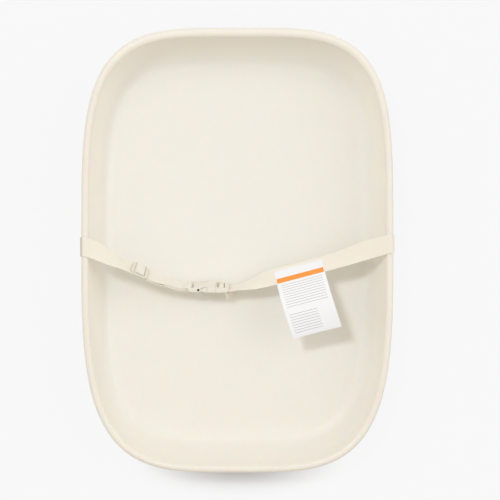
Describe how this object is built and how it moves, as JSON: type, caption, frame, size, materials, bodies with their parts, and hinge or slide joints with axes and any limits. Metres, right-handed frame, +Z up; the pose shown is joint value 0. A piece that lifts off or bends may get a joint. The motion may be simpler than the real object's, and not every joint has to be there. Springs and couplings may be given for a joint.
{
  "type": "changing mat",
  "caption": "Skinned foam changing mat with a raised rounded rim, a shallow tray and a webbing safety belt closed by a side-release buckle.",
  "frame": {"origin": "middle of the mat's footprint, on the surface that it lies on", "axes": "+X to the user's right, +Y towards the head end, +Z up out of the tray"},
  "size_m": [0.4934, 0.7, 0.0981],
  "materials": {
    "foam_skin": "satin",
    "webbing": "matte",
    "plastic": "satin",
    "tag_cloth": "matte"
  },
  "bodies": {
    "mat": {"foam_body": "foam_skin", "belt_back_run": "webbing"},
    "belt": {"belt_left_run": "webbing", "belt_right_run": "webbing", "buckle_plug": "plastic"},
    "socket": {"buckle_socket": "plastic"},
    "slider": {"belt_slider": "plastic"},
    "arm_head_side": {"buckle_arm_head_side": "plastic"},
    "arm_foot_side": {"buckle_arm_foot_side": "plastic"},
    "tag": {"sewn_tag": "tag_cloth"}
  },
  "joints": [
    {"name": "belt_swing", "type": "hinge", "parent": "mat", "child": "belt", "pos_m": [0, 0.00825, 0.09255], "axis": [-1, 0, 0], "range_deg": [0, 110], "deforming": ["belt_back_run"]},
    {"name": "buckle_release", "type": "slide", "parent": "belt", "child": "socket", "axis": [-1, 0, 0], "range_m": [0, 0.032], "deforming": ["belt_left_run", "buckle_arm_head_side", "buckle_arm_foot_side"]},
    {"name": "arm_press_head_side", "type": "hinge", "parent": "belt", "child": "arm_head_side", "pos_m": [-0.0343, -0.05457, 0.03743], "axis": [0, 0.9613, 0.2756], "range_deg": [0, 7], "stiffness_Nm_per_rad": 0.3},
    {"name": "arm_press_foot_side", "type": "hinge", "parent": "belt", "child": "arm_foot_side", "pos_m": [-0.0343, -0.06063, 0.05857], "axis": [0, -0.9613, -0.2756], "range_deg": [0, 7], "stiffness_Nm_per_rad": 0.3},
    {"name": "slider_adjust", "type": "slide", "parent": "belt", "child": "slider", "axis": [0.8865, -0.3723, -0.2748], "range_m": [-0.02, 0.02]},
    {"name": "tag_lift", "type": "hinge", "parent": "belt", "child": "tag", "pos_m": [0.09563, -0.02369, 0.06002], "axis": [-0.9559, -0.2562, -0.1434], "range_deg": [0, 100]}
  ]
}
